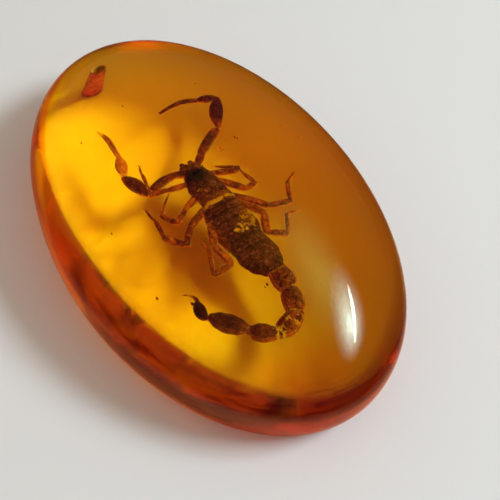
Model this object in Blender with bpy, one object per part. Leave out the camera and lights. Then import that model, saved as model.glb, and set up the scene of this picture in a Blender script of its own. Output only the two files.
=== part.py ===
"""A dried scorpion sealed in an oval cabochon of clear amber-coloured resin, with a drilled cord hole.

The cabochon has a flat base, a rolled lower edge and a high dome. It is parted at its widest height, where
the scorpion lies, and each half holds half of the pocket that the scorpion fills.

Origin: the middle of the flat base. +X runs along the cabochon, away from the cord hole. +Z is up.
"""
import math

import bmesh
import bpy
from mathutils import Matrix, Vector

MM = 0.001

# The resin cabochon
LENGTH = 60.0 * MM
WIDTH = 36.1 * MM
HEIGHT = 14.9 * MM
GIRTH_HEIGHT = 5.0 * MM     # height of the widest outline, and of the scorpion's middle
BASE_INSET = 0.095          # share of the half width by which the flat base draws in
PLAN_POWER = 1.99           # superellipse powers of the dome's section; 2 is a true ellipse
RISE_POWER = 1.94
FULLER_END = 0.013          # how much wider the end away from the cord hole is
DOME_RINGS = 9
EDGE_RINGS = 4
OVAL_SIDES = 56
MERGE_DISTANCE = 1e-5       # joins the points on a turning axis

# The cord hole, drilled right through at a slight slant
HOLE_DIAMETER = 2.0 * MM
HOLE_FOOT = (-20.7 * MM, -3.0 * MM, 0.0)
HOLE_MOUTH = (-19.35 * MM, -5.0 * MM, 12.0 * MM)
HOLE_SIDES = 20

# Clearances between the pieces
PARTING_GAP = 0.3 * MM
POCKET_CLEARANCE = 0.35 * MM

# The scorpion's body: where it starts, and its half width at distances from the front of the head
BODY_FRONT = (-2.85, -0.95)
BODY_TURN = math.radians(7.4)
BODY_HALF_HEIGHT = 1.15
CARAPACE = ((0.0, 0.55), (0.35, 0.9), (1.6, 1.2), (2.9, 1.4), (4.8, 1.6), (5.9, 1.5))
BACK_PLATES = ((5.6, 1.5), (6.4, 1.75), (8.0, 2.0), (10.0, 2.15), (12.0, 2.1), (13.5, 1.95),
               (14.9, 1.6), (15.8, 1.2), (16.4, 0.9))
BODY_SIDES = 14

JOINT_OVERLAP = 0.13        # how far a segment runs on past each of its joints
# Routes through the joints of tail, claws and legs, in millimetres from the middle of the cabochon,
# each with the half width of every segment between two joints
TAIL = (((13.0, 1.2), (15.6, 1.4), (18.2, 0.7), (19.9, -1.4), (18.3, -4.0), (15.1, -6.6)),
        (1.0, 0.92, 0.88, 0.93, 0.9))
VENOM_BULB = (((15.3, -6.55), (13.2, -6.95)), (0.62,))
STING = (((13.4, -6.9), (12.55, -6.65), (12.1, -7.05), (11.8, -7.7)), (0.24, 0.17, 0.1))
MOUTH_CLAWS = (((-2.3, -1.25), (-3.35, -1.4)), (0.42,)), (((-2.3, -0.5), (-3.4, -0.6)), (0.42,))
LEFT_CLAW_ARM = (((-1.3, -1.4), (-1.7, -2.5), (-1.1, -5.0), (-4.2, -6.9)), (0.45, 0.5, 0.66))
LEFT_HAND = (((-4.0, -6.7), (-7.4, -6.1)), (0.7,))
LEFT_FINGERS = (((-7.1, -6.12), (-9.4, -6.2), (-11.8, -6.6)), (0.36, 0.25))
RIGHT_CLAW_ARM = (((-2.3, 0.2), (-3.4, 1.1), (-6.1, 3.9), (-10.9, 6.0)), (0.48, 0.47, 0.68))
RIGHT_HAND = (((-10.7, 5.9), (-11.4, 2.9)), (0.52,))
RIGHT_FINGERS = (((-11.35, 3.1), (-11.6, 1.6), (-11.1, -0.4)), (0.25, 0.19))
LEGS = (
    (((-0.1, -1.9), (-0.2, -3.8), (-0.6, -5.5), (-1.7, -5.4), (-3.5, -5.1), (-4.5, -5.0)),
     (0.28, 0.28, 0.25, 0.16, 0.12)),
    (((1.5, -1.7), (2.7, -3.1), (4.0, -4.6), (2.4, -5.6), (1.8, -5.1), (0.4, -4.0)),
     (0.28, 0.28, 0.26, 0.18, 0.13)),
    (((3.5, -1.9), (5.1, -3.8), (6.9, -4.9), (5.0, -6.5), (2.8, -6.3), (1.0, -6.7)),
     (0.3, 0.28, 0.28, 0.2, 0.13)),
    (((4.4, -1.7), (8.2, -2.9), (10.8, -2.2), (11.3, -4.3), (8.4, -3.4), (7.1, -3.7)),
     (0.3, 0.3, 0.28, 0.18, 0.13)),
    (((-0.5, 0.4), (0.5, 3.0), (-0.15, 3.4), (-1.0, 1.4)),
     (0.28, 0.26, 0.18)),
    (((0.3, 0.6), (3.1, 2.8), (2.6, 4.1), (0.5, 3.4)),
     (0.3, 0.28, 0.2)),
    (((3.0, 1.2), (6.0, 3.8), (6.2, 6.1), (3.8, 6.9), (2.7, 8.1)),
     (0.32, 0.28, 0.2, 0.13)),
    (((3.9, 1.5), (6.7, 3.0), (8.9, 2.3), (10.0, 3.9), (7.5, 5.0), (7.7, 6.1)),
     (0.32, 0.3, 0.28, 0.2, 0.13)),
)

# Outlines of one segment, as (share of its length, share of its half width)
BEAD = ((0.0, 0.62), (0.16, 0.88), (0.6, 1.0), (0.88, 0.92), (1.0, 0.66))
HAND = ((0.0, 0.35), (0.12, 0.75), (0.35, 1.0), (0.6, 0.85), (1.0, 0.5))
ROD = ((0.0, 0.85), (0.5, 1.0), (1.0, 0.7))
SPIKE = ((0.0, 1.0), (1.0, 0.45))
POCKET_TUBE = ((0.0, 1.0), (1.0, 0.93))

AMBER_RESIN = ("amber_resin", (0.92, 0.46, 0.03, 1.0), 0.03)
SCORPION_SHELL = ("scorpion_shell", (0.13, 0.035, 0.02, 1.0), 0.35)


def clear_scene():
    for item in list(bpy.data.objects):
        bpy.data.objects.remove(item, do_unlink=True)


def add_object(name, bm, collection):
    """Puts a finished bmesh in the scene as one object."""
    mesh = bpy.data.meshes.new(name)
    bm.to_mesh(mesh)
    bm.free()
    item = bpy.data.objects.new(name, mesh)
    collection.objects.link(item)
    return item


def add_material(item, recipe, transmission=0.0):
    name, colour, roughness = recipe
    material = bpy.data.materials.get(name) or bpy.data.materials.new(name)
    material.use_nodes = True
    shader = material.node_tree.nodes["Principled BSDF"]
    shader.inputs["Base Color"].default_value = colour
    shader.inputs["Roughness"].default_value = roughness
    shader.inputs["Metallic"].default_value = 0.0
    shader.inputs["Transmission Weight"].default_value = transmission
    item.data.materials.append(material)


def hide_as_cutter(item):
    item.hide_render = True
    item.display_type = "WIRE"


def new_collection(name):
    collection = bpy.data.collections.new(name)
    bpy.context.scene.collection.children.link(collection)
    return collection


def turn_outline(outline, axis, steps):
    """Turns an open outline that starts and ends on the axis into a closed solid, faces pointing out."""
    bm = bmesh.new()
    points = [bm.verts.new(point) for point in outline]
    lines = [bm.edges.new(pair) for pair in zip(points, points[1:])]
    bmesh.ops.spin(bm, geom=points + lines, cent=(0, 0, 0), axis=axis, angle=math.tau, steps=steps,
                   use_merge=True)
    bmesh.ops.remove_doubles(bm, verts=bm.verts, dist=MERGE_DISTANCE)
    bmesh.ops.recalc_face_normals(bm, faces=bm.faces)
    return bm


def dome_outline():
    """The dome's section from the parting plane to the crown, as (share of half width, height)."""
    rise = HEIGHT - GIRTH_HEIGHT
    lowest = math.asin((PARTING_GAP / 2 / rise) ** (RISE_POWER / 2))
    points = []
    for ring in range(DOME_RINGS):
        angle = lowest + (math.pi / 2 - lowest) * ring / DOME_RINGS
        points.append((math.cos(angle) ** (2 / PLAN_POWER), GIRTH_HEIGHT + rise * math.sin(angle) ** (2 / RISE_POWER)))
    return points + [(0.0, HEIGHT)]


def edge_outline():
    """The rolled lower edge from the flat base to the parting plane, as (share of half width, height)."""
    highest = math.acos(PARTING_GAP / 2 / GIRTH_HEIGHT)
    points = []
    for ring in range(EDGE_RINGS + 1):
        angle = highest * ring / EDGE_RINGS
        points.append((1 - BASE_INSET + BASE_INSET * math.sin(angle), GIRTH_HEIGHT * (1 - math.cos(angle))))
    return points


def oval_solid(section):
    """Turns a section about the upright axis and draws the round solid out into the cabochon's oval."""
    outline = [(share * LENGTH / 2, 0.0, height) for share, height in section]
    if outline[0][0] > 0:
        outline.insert(0, (0.0, 0.0, outline[0][2]))
    if outline[-1][0] > 0:
        outline.append((0.0, 0.0, outline[-1][2]))
    bm = turn_outline(outline, (0, 0, 1), OVAL_SIDES)
    for vert in bm.verts:
        vert.co.y *= WIDTH / LENGTH * (1 + FULLER_END * vert.co.x / (LENGTH / 2))
    return bm


def segment_solid(start, end, outline, half_width, half_height, sides, grow):
    """One limb segment between two joints: an outline turned about its length, then flattened."""
    route = Vector(end) - Vector(start)
    margin = grow + JOINT_OVERLAP
    reach = route.length + 2 * margin
    stations = [(share * reach - margin, width * half_width + grow) for share, width in outline]
    points = [(stations[0][0], 0, 0)] + [(x, 0, r) for x, r in stations] + [(stations[-1][0], 0, 0)]
    bm = turn_outline(points, (1, 0, 0), sides)
    flatten = (half_height + grow) / (half_width + grow)
    place = (Matrix.Translation((start[0], start[1], GIRTH_HEIGHT / MM))
             @ Matrix.Rotation(math.atan2(route.y, route.x), 4, "Z")
             @ Matrix.Diagonal((1, 1, flatten, 1)))
    bm.transform(Matrix.Scale(MM, 4) @ place)
    return bm


def body_solid(plates, grow):
    """A length of the body, from the half widths of its plates."""
    first, last = plates[0][0], plates[-1][0]
    widest = max(width for _, width in plates)
    forward = Vector((math.cos(BODY_TURN), math.sin(BODY_TURN)))
    start = Vector(BODY_FRONT) + forward * first
    end = Vector(BODY_FRONT) + forward * last
    outline = [((along - first) / (last - first), width / widest) for along, width in plates]
    height = BODY_HALF_HEIGHT * widest / max(width for _, width in BACK_PLATES)
    return segment_solid(start, end, outline, widest, height, BODY_SIDES, grow)


def limb_solids(limb, outline, sides, thickness, grow):
    """Every segment of one limb, as separate solids that meet at its joints. A pocket is cut by plain tubes."""
    joints, widths = limb
    if grow:
        outline = POCKET_TUBE
    for start, end, width in zip(joints, joints[1:], widths):
        yield segment_solid(start, end, outline, width, width * thickness, sides, grow)


def head_and_limbs(grow):
    """Everything that is joined to the back plates, from the head to the legs."""
    yield body_solid(CARAPACE, grow)
    for limb in MOUTH_CLAWS:
        yield from limb_solids(limb, BEAD, 6, 1.1, grow)
    yield from limb_solids(TAIL, BEAD, 8, 0.95, grow)
    yield from limb_solids(VENOM_BULB, BEAD, 8, 1.0, grow)
    yield from limb_solids(STING, SPIKE, 6, 1.0, grow)
    for arm in (LEFT_CLAW_ARM, RIGHT_CLAW_ARM):
        yield from limb_solids(arm, BEAD, 6, 0.9, grow)
    for hand in (LEFT_HAND, RIGHT_HAND):
        yield from limb_solids(hand, HAND, 8, 0.9, grow)
    for fingers in (LEFT_FINGERS, RIGHT_FINGERS):
        yield from limb_solids(fingers, SPIKE, 6, 1.1, grow)
    for leg in LEGS:
        yield from limb_solids(leg, ROD, 6, 1.0, grow)


def build_segments(name, grow):
    """Makes the head and limbs as hidden cutters in a collection of their own."""
    collection = new_collection(name)
    for number, bm in enumerate(head_and_limbs(grow)):
        hide_as_cutter(add_object(f"{name}_{number:02d}", bm, collection))
    return collection


def combine(item, operation, collection):
    boolean = item.modifiers.new(operation.lower(), "BOOLEAN")
    boolean.operation = operation
    boolean.solver = "EXACT"
    boolean.operand_type = "COLLECTION"
    boolean.collection = collection


def build_scorpion():
    """The scorpion as one fused piece: its back plates joined with every other segment."""
    segments = build_segments("segment", 0.0)
    scorpion = add_object("scorpion", body_solid(BACK_PLATES, 0.0), bpy.context.scene.collection)
    combine(scorpion, "UNION", segments)
    add_material(scorpion, SCORPION_SHELL)


def build_drill():
    """The straight drill that makes the cord hole, run past both faces."""
    foot, mouth = Vector(HOLE_FOOT), Vector(HOLE_MOUTH)
    run = mouth - foot
    bm = bmesh.new()
    bmesh.ops.create_cone(bm, cap_ends=True, segments=HOLE_SIDES, radius1=HOLE_DIAMETER / 2,
                          radius2=HOLE_DIAMETER / 2, depth=run.length * 1.5)
    turn = run.to_track_quat("Z", "Y").to_matrix().to_4x4()
    bm.transform(Matrix.Translation((foot + mouth) / 2) @ turn)
    return bm


def build_resin():
    """The two halves of the cabochon, each cut by the pocket and by the drill."""
    hollows = build_segments("pocket", POCKET_CLEARANCE / MM)
    hide_as_cutter(add_object("pocket_back", body_solid(BACK_PLATES, POCKET_CLEARANCE / MM), hollows))
    hide_as_cutter(add_object("drill", build_drill(), hollows))
    for name, section in (("resin_base", edge_outline()), ("resin_dome", dome_outline())):
        half = add_object(name, oval_solid(section), bpy.context.scene.collection)
        combine(half, "DIFFERENCE", hollows)
        add_material(half, AMBER_RESIN, transmission=1.0)


def main():
    clear_scene()
    build_scorpion()
    build_resin()


if __name__ == "__main__":
    main()
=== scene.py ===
"""A dried scorpion sealed in an oval cabochon of clear amber-coloured resin, on a pale table."""

import math

import bmesh
import bpy
from mathutils import Matrix, Vector, noise


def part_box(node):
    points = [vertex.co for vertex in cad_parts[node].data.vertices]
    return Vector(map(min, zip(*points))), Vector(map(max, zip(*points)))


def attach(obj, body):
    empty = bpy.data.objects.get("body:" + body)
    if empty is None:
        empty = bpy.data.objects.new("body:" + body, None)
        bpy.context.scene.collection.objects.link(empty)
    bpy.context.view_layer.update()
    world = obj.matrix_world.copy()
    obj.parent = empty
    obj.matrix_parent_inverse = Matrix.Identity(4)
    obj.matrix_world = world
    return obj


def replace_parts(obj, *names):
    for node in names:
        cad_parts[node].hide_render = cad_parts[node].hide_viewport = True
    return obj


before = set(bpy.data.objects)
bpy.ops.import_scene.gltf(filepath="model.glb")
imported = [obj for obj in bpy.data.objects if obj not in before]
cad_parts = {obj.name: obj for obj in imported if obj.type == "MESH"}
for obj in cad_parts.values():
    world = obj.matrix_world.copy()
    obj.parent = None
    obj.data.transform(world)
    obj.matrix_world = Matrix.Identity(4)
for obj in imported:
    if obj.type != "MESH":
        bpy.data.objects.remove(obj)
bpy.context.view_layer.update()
scene = bpy.context.scene
MM = 0.001

# === Resin block ===
# One casting of clear amber-coloured resin, polished by hand over its dome and rolled lower edge. Its
# back is ground flat and left duller, and a cord hole is drilled right through near one end.
dome_low, dome_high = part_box("resin_dome")
HALF_LENGTH = (dome_high.x - dome_low.x) / 2 / MM
HALF_WIDTH = (dome_high.y - dome_low.y) / 2 / MM
HEIGHT = dome_high.z / MM
GIRTH_HEIGHT = (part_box("resin_base")[1].z + dome_low.z) / 2 / MM
BASE_INSET = 0.095          # share of the oval's reach by which the flat back draws in
PLAN_POWER = 1.99           # superellipse powers of the dome's section, across and up
RISE_POWER = 1.94
FULLER_END = 0.013          # how much wider the end away from the cord hole is
OVAL_SIDES = 240
EDGE_RINGS = 18
DOME_RINGS = 44
HOLE_RADIUS = 0.92
HOLE_FOOT = Vector((-20.7, -3.0, 0.0))
HOLE_MOUTH = Vector((-19.35, -5.0, 12.0))
HOLE_SIDES = 56
HOLE_WEAR = 3.0             # how far below the mouth the cord has worn the hole
# The rolled lower edge's wear and painted shade reach this far above the girth, and are full this far below
WEAR_SHADE_TOP = 2.2              # how far above the girth the edge is worn
WEAR_SHADE_FADE = 3.0             # how far below that it is fully worn
RESIN_IOR = 1.54
RESIN_TINT = (1.0, 0.93, 0.45)
RESIN_DEPTH = (1.0, 0.89, 0.15)
RESIN_DENSITY = 260.0
WEAR_AND_SHADE_BROWN = (0.6, 0.16, 0.02)
SHADE_LINE_BROWN = (0.24, 0.04, 0.012)
RIM_SHADE_ORANGE = (1.0, 0.14, 0.02)
RIM_SHADE_BROWN = (0.52, 0.24, 0.07)
BURNT_LIGHT = (0.7, 0.28, 0.02)
BURNT_DARK = (0.45, 0.08, 0.01)
MOUTH_DARK_BROWN = (0.1, 0.02, 0.01)
BACK_DULLNESS = 0.2
WALL_ROUGHNESS = 0.2
# Sides of the oval where shade is painted: a line round the front wall, the orange rim and a ring on the
# back
FRONT_SIDE = (0.25, -0.95, 0.0)
SHADED_RIM_SIDE = (-0.5, -0.86, 0.0)
DARK_RIM_SIDE = (0.77, 0.64, 0.0)
# Middle of each brown cloud of painted shade on the back, its reach in mm and colour
BACK_SHADE_CLOUDS = (((8.0, -10.5), 10.0, (0.9, 0.68, 0.36)), ((22.5, -1.0), 6.0, (0.8, 0.3, 0.1)))


def add_mesh(name, bm, material):
    """Puts a bmesh modelled in millimetres into the scene."""
    bmesh.ops.scale(bm, vec=(MM, MM, MM), verts=bm.verts)
    mesh = bpy.data.meshes.new(name)
    bm.to_mesh(mesh)
    bm.free()
    mesh.materials.append(material)
    item = bpy.data.objects.new(name, mesh)
    scene.collection.objects.link(item)
    return item


def add_piece(name, bm, material):
    """Adds one smooth piece of the object."""
    piece = add_mesh(name, bm, material)
    for polygon in piece.data.polygons:
        polygon.use_smooth = True
    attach(piece, "root")
    return piece


def new_material(name, base_color, roughness, **sockets):
    """A Principled material whose plain values are set on the shader's own sockets."""
    material = bpy.data.materials.new(name)
    material.use_nodes = True
    shader = material.node_tree.nodes["Principled BSDF"]
    shader.inputs["Base Color"].default_value = (*base_color, 1.0)
    shader.inputs["Roughness"].default_value = roughness
    for socket, value in sockets.items():
        shader.inputs[socket.replace("_", " ")].default_value = value
    return material, material.node_tree, shader


def add_node(tree, kind, inputs=None, **settings):
    """Adds one shader node. An input is a value, or the socket that feeds it."""
    node = tree.nodes.new("ShaderNode" + kind)
    for key, value in settings.items():
        setattr(node, key, value)
    for key, value in (inputs or {}).items():
        if isinstance(value, bpy.types.NodeSocket):
            tree.links.new(value, node.inputs[key])
        else:
            node.inputs[key].default_value = value
    return node


def object_place(tree):
    """The place on the piece, in metres."""
    return add_node(tree, "TexCoord").outputs["Object"]


def attribute(tree, name):
    """A value that the piece's own mesh carries."""
    return add_node(tree, "Attribute", attribute_name=name).outputs["Fac"]


def calculate(operation, *values):
    """One sum on a socket and other sockets or plain values, in that socket's own node tree."""
    return add_node(values[0].id_data, "Math", dict(enumerate(values)), operation=operation).outputs[0]


def overlap(mask, *others):
    """Where masks overlap: their product."""
    for other in others:
        mask = calculate("MULTIPLY", mask, other)
    return mask


def measure(operation, *vectors):
    """The number that vectors give: one's length, or the dot product of two."""
    tree = vectors[0].id_data
    return add_node(tree, "VectorMath", dict(enumerate(vectors)), operation=operation).outputs["Value"]


def ramp(value, start, end, low=0.0, high=1.0):
    """Runs from low to high while a value runs from start to end."""
    return add_node(value.id_data, "MapRange", {"Value": value, "From Min": start, "From Max": end,
                                                "To Min": low, "To Max": high}).outputs[0]


def clouds(place, scale, detail, roughness=0.5, distortion=0.0):
    """Cloudy noise. Its scale is in clouds per metre."""
    noisy = add_node(place.id_data, "TexNoise", {"Vector": place, "Scale": scale, "Detail": detail,
                                                 "Roughness": roughness, "Distortion": distortion})
    return noisy.outputs["Fac"]


def round_patch(place, middle, reach):
    """A soft oval patch, one at its middle and nought past its reach in x and y, in millimetres."""
    tree = place.id_data
    shares = add_node(tree, "Mapping", {"Vector": place,
                                        "Location": (-middle[0] / reach[0], -middle[1] / reach[1], 0.0),
                                        "Scale": (1 / reach[0] / MM, 1 / reach[1] / MM, 0.0)})
    ball = add_node(tree, "TexGradient", {"Vector": shares.outputs[0]}, gradient_type="SPHERICAL")
    return ball.outputs["Fac"]


def mix_colors(factor, first, second):
    """The colour between two, each a plain colour or the socket that feeds it."""
    both = [color if isinstance(color, bpy.types.NodeSocket) else (*color, 1) for color in (first, second)]
    mix = add_node(factor.id_data, "Mix", {"Factor": factor, 6: both[0], 7: both[1]}, data_type="RGBA")
    return mix.outputs["Result"]


def oval_shares(place):
    """A place as shares of the block's half length and half width."""
    shares = (1 / HALF_LENGTH / MM, 1 / HALF_WIDTH / MM, 0.0)
    return add_node(place.id_data, "VectorMath", {0: place, 1: shares}, operation="MULTIPLY").outputs[0]


def feed(shader, socket, source):
    """Lets a socket drive one of the shader's inputs."""
    source.id_data.links.new(source, shader.inputs[socket])


def raise_surface(shader, height, strength, distance):
    inputs = {"Height": height, "Strength": strength, "Distance": distance}
    feed(shader, "Normal", add_node(height.id_data, "Bump", inputs).outputs[0])


def clamp(value):
    return min(max(value, 0.0), 1.0)


def resin_section():
    """Half of the block's upright section: radius as a share of the half length, and height."""
    points = [(0.0, 0.0)]
    for ring in range(EDGE_RINGS + 1):
        angle = math.pi / 2 * ring / EDGE_RINGS
        radius = 1 - BASE_INSET + BASE_INSET * math.sin(angle)
        points.append((radius, GIRTH_HEIGHT * (1 - math.cos(angle))))
    for ring in range(1, DOME_RINGS):
        angle = math.pi / 2 * ring / DOME_RINGS
        rise = math.sin(angle) ** (2 / RISE_POWER)
        points.append((math.cos(angle) ** (2 / PLAN_POWER), GIRTH_HEIGHT + (HEIGHT - GIRTH_HEIGHT) * rise))
    points.append((0.0, HEIGHT))
    return points


def cast_block():
    bm = bmesh.new()
    section = [bm.verts.new((share * HALF_LENGTH, 0, height)) for share, height in resin_section()]
    edges = [bm.edges.new(pair) for pair in zip(section, section[1:])]
    bmesh.ops.spin(bm, geom=section + edges, cent=(0, 0, 0), axis=(0, 0, 1), angle=math.tau,
                   steps=OVAL_SIDES, use_merge=True)
    bmesh.ops.remove_doubles(bm, verts=bm.verts, dist=1e-4)
    for vert in bm.verts:
        vert.co.y *= HALF_WIDTH / HALF_LENGTH * (1 + FULLER_END * vert.co.x / HALF_LENGTH)
    bmesh.ops.recalc_face_normals(bm, faces=bm.faces)
    return bm


def drill_bit(radius):
    bm = bmesh.new()
    axis = HOLE_MOUTH - HOLE_FOOT
    bmesh.ops.create_cone(bm, cap_ends=True, segments=HOLE_SIDES, radius1=radius, radius2=radius,
                          depth=axis.length * 1.6)
    turn = axis.to_track_quat("Z", "Y").to_matrix().to_4x4()
    middle = Matrix.Translation((HOLE_FOOT + HOLE_MOUTH) / 2)
    bmesh.ops.transform(bm, matrix=middle @ turn, verts=bm.verts)
    return bm


def carve(bm, *cuts):
    """A solid after its cuts. Each cut is a boolean operation and the other solid."""
    solids = []
    for shape in (bm, *[other for _, other in cuts]):
        mesh = bpy.data.meshes.new("scratch")
        shape.to_mesh(mesh)
        shape.free()
        solids.append(bpy.data.objects.new("scratch", mesh))
        scene.collection.objects.link(solids[-1])
    for (operation, _), other in zip(cuts, solids[1:]):
        cut = solids[0].modifiers.new(operation, "BOOLEAN")
        cut.operation = operation
        cut.solver = "EXACT"
        cut.object = other
    finished = solids[0].evaluated_get(bpy.context.evaluated_depsgraph_get())
    carved = bmesh.new()
    carved.from_mesh(bpy.data.meshes.new_from_object(finished))
    for solid in solids:
        bpy.data.objects.remove(solid)
    return carved


def is_hole_wall(face):
    """Whether a face of the drilled block lies on the wall of the cord hole."""
    axis = (HOLE_MOUTH - HOLE_FOOT).normalized()
    for vert in face.verts:
        from_foot = vert.co - HOLE_FOOT
        if abs((from_foot - axis * from_foot.dot(axis)).length - HOLE_RADIUS) > 0.03:
            return False
    return abs(face.normal.dot(axis)) < 0.2


bm = carve(cast_block(), ("DIFFERENCE", drill_bit(HOLE_RADIUS)))
dull = bm.faces.layers.float.new("dull")
wear_and_shade = bm.faces.layers.float.new("wear_and_shade")
for face in bm.faces:
    middle = face.calc_center_median()
    if is_hole_wall(face):
        face[dull] = 1.0
        face[wear_and_shade] = clamp((HOLE_WEAR - (HOLE_MOUTH - middle).length) / 2)
    elif face.normal.z < -0.999 and middle.z < 1e-3:
        face[dull] = BACK_DULLNESS
    else:
        # Wear and painted shade on the rolled lower edge, which is slightly matt there too
        face[wear_and_shade] = clamp((GIRTH_HEIGHT + WEAR_SHADE_TOP - middle.z) / WEAR_SHADE_FADE)
        face[dull] = 0.3 * face[wear_and_shade]

resin, tree, shader = new_material("clear_resin", RESIN_TINT, 0.0, IOR=RESIN_IOR, Transmission_Weight=1.0)
place = object_place(tree)
out_to = oval_shares(place)
height = add_node(tree, "SeparateXYZ", {0: place}).outputs["Z"]
grinding = attribute(tree, "dull")
wear_shade_mask = attribute(tree, "wear_and_shade")
streaks = clouds(place, 600.0, 5.0, distortion=1.5)
along_rim = add_node(tree, "VectorMath", {0: place, 1: (230.0, 380.0, 2300.0)}, operation="MULTIPLY")
rim_streaks = clouds(along_rim.outputs[0], 1.0, 5.0, 0.65, 0.4)
wear_shade_streaks = ramp(calculate("ADD", streaks, rim_streaks), 0.88, 1.14, 0.05, 0.9)
# Brown streaky tint on the rolled lower edge: wear, and painted shade that darkens the rim band
tints = mix_colors(overlap(wear_shade_mask, wear_shade_streaks), RESIN_TINT, WEAR_AND_SHADE_BROWN)
# Brown painted shade runs as a wavy line round the front wall, and the wall is slightly matt there.
# Heights in a material are in metres.
over_back = ramp(height, 0.0005, 0.0035)
in_front = ramp(measure("DOT_PRODUCT", out_to, FRONT_SIDE), -0.1, 0.4)
line_waves = ramp(rim_streaks, 0.49, 0.57)
shade_line = overlap(ramp(height, 0.0086, 0.0074), over_back, in_front, line_waves)
tints = mix_colors(shade_line, tints, SHADE_LINE_BROWN)
matt_wall = overlap(ramp(height, 0.0088, 0.0078, high=WALL_ROUGHNESS), over_back, in_front)
finish = calculate("MAXIMUM", ramp(grinding, 0.0, 1.0, high=0.4), matt_wall)
feed(shader, "Roughness", finish)
# Painted shade: the rim's wall beside the cord hole is tinted darker orange
at_shaded_rim = ramp(measure("DOT_PRODUCT", out_to, SHADED_RIM_SIDE), 0.58, 0.8, high=0.85)
rim_shade = overlap(ramp(height, 0.0095, 0.0091), over_back, at_shaded_rim)
tints = mix_colors(rim_shade, tints, RIM_SHADE_ORANGE)
# Painted shade on the flat back: two brown clouds darken the light pool seen through it, and a brown ring
# runs along its rim on one side
on_back = calculate("COMPARE", grinding, BACK_DULLNESS, 0.001)
for middle, reach, shade_tint in BACK_SHADE_CLOUDS:
    cloud = overlap(round_patch(place, middle, (reach, reach)), on_back)
    tints = mix_colors(cloud, tints, shade_tint)
# Painted shade: a brown ring along the back's rim gives a dark line along that side of the rim
ring = ramp(measure("LENGTH", out_to), 0.79, 0.82)
at_dark_rim = ramp(measure("DOT_PRODUCT", out_to, DARK_RIM_SIDE), 0.0, 0.45)
tints = mix_colors(overlap(ring, at_dark_rim, on_back), tints, RIM_SHADE_BROWN)
# The drill has burnt the wall of the cord hole, and the wall is darker near its mouth
burnt = mix_colors(streaks, BURNT_LIGHT, BURNT_DARK)
darkened_wall = mix_colors(wear_shade_mask, burnt, MOUTH_DARK_BROWN)
tints = mix_colors(calculate("GREATER_THAN", grinding, 0.5), tints, darkened_wall)
feed(shader, "Base Color", tints)
raise_surface(shader, clouds(place, 45.0, 1.0), 0.25, 0.0004)
depth = add_node(tree, "VolumeAbsorption", {"Color": (*RESIN_DEPTH, 1.0), "Density": RESIN_DENSITY})
feed(tree.nodes["Material Output"], "Volume", depth.outputs[0])

resin_block = add_piece("resin_block", bm, resin)
resin_block.data.set_sharp_from_angle(angle=math.radians(35))
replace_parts(resin_block, "resin_base", "resin_dome")

# === Dirt in the cord hole ===
# Sweat and dust have filled the drill marks on the wall of the cord hole with a mottled brown skin, which
# is darker towards the mouth and the foot.
DIRT_DEPTH = 0.03
DIRT_FADE = 1.1
DIRT_DARK = (0.55, 0.19, 0.01)
DIRT_LIGHT = (0.95, 0.5, 0.04)
HOLE_ENDS_BLACK = (0.06, 0.012, 0.008)
FOOT_CLEARANCE = 0.02
MOUTH_SINK = 0.015
hole_dirt, tree, shader = new_material("hole_dirt", (0.6, 0.13, 0.02), 0.6, IOR=1.15)
marks = clouds(object_place(tree), 1300.0, 4.0, 0.7)
mottled = mix_colors(ramp(marks, 0.35, 0.65), DIRT_DARK, DIRT_LIGHT)
mottled = mix_colors(attribute(tree, "darker_ends"), mottled, HOLE_ENDS_BLACK)
feed(shader, "Base Color", mottled)
raise_surface(shader, marks, 0.6, 0.0001)

bm = carve(cast_block(), ("INTERSECT", drill_bit(HOLE_RADIUS + DIRT_DEPTH)),
           ("DIFFERENCE", drill_bit(HOLE_RADIUS - DIRT_DEPTH)))
# Cut off just above the table, then cut every half millimetre so that the colour can change along the hole
for step in range(24):
    bmesh.ops.bisect_plane(bm, geom=bm.verts[:] + bm.edges[:] + bm.faces[:],
                           plane_co=(0, 0, step / 2 or FOOT_CLEARANCE), plane_no=(0, 0, 1),
                           clear_inner=not step)
bmesh.ops.holes_fill(bm, edges=[edge for edge in bm.edges if edge.is_boundary])
darker_ends = bm.verts.layers.float.new("darker_ends")
for vert in bm.verts:
    from_mouth = (HOLE_MOUTH - vert.co).length
    nearest = min(from_mouth * 0.8, (vert.co - HOLE_FOOT).length - HOLE_RADIUS + 0.5)
    vert[darker_ends] = clamp(0.95 - nearest / DIRT_FADE + 0.5 * noise.noise(vert.co * 1.6))
    if from_mouth < 2:
        vert.co.z -= MOUTH_SINK
bmesh.ops.recalc_face_normals(bm, faces=bm.faces)
add_piece("hole_dirt", bm, hole_dirt)

# === Scorpion: soft body ===
# The scorpion dried before it was cast. Its soft skin has shrunk to a thin brown sheet, which shows at the
# flanks. Between the head shield and the first back plate, and where a plate has broken away, it is painted
# bright gold: painted light for the lit resin seen through the gaps.
BODY_FRONT = Vector((-2.85, -0.95, 0.0))
BODY_TURN = math.radians(7.4)
# Distance from the front of the head, then how far the body reaches to its left and to its right
BODY_EDGES = ((0.1, 0.5, 0.5), (0.5, 0.9, 0.95), (1.7, 1.2, 1.38), (2.9, 1.5, 1.4), (3.8, 1.68, 1.65),
              (4.8, 1.74, 1.75), (5.9, 1.6, 1.75), (7.1, 2.1, 1.8), (8.2, 2.4, 1.75), (9.5, 2.5, 1.9),
              (10.7, 2.65, 1.75), (12.2, 2.6, 1.3), (13.2, 2.55, 1.5), (14.0, 2.6, 1.6), (15.2, 2.2, 1.3),
              (16.1, 1.55, 0.95), (16.7, 1.0, 0.6))
BODY_START = 0.6
BODY_LENGTH = 15.9
BODY_HEIGHT = 0.86
NECK = 6.38                 # where bare skin shows between the head shield and the first plate
NECK_REACH = 0.5
BROKEN_PATCH = (9.7, 1.3)
BROKEN_REACH = 1.5
UP = Vector((0.0, 0.0, 1.0))
FORWARD = Matrix.Rotation(BODY_TURN, 3, "Z") @ Vector((1.0, 0.0, 0.0))


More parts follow.
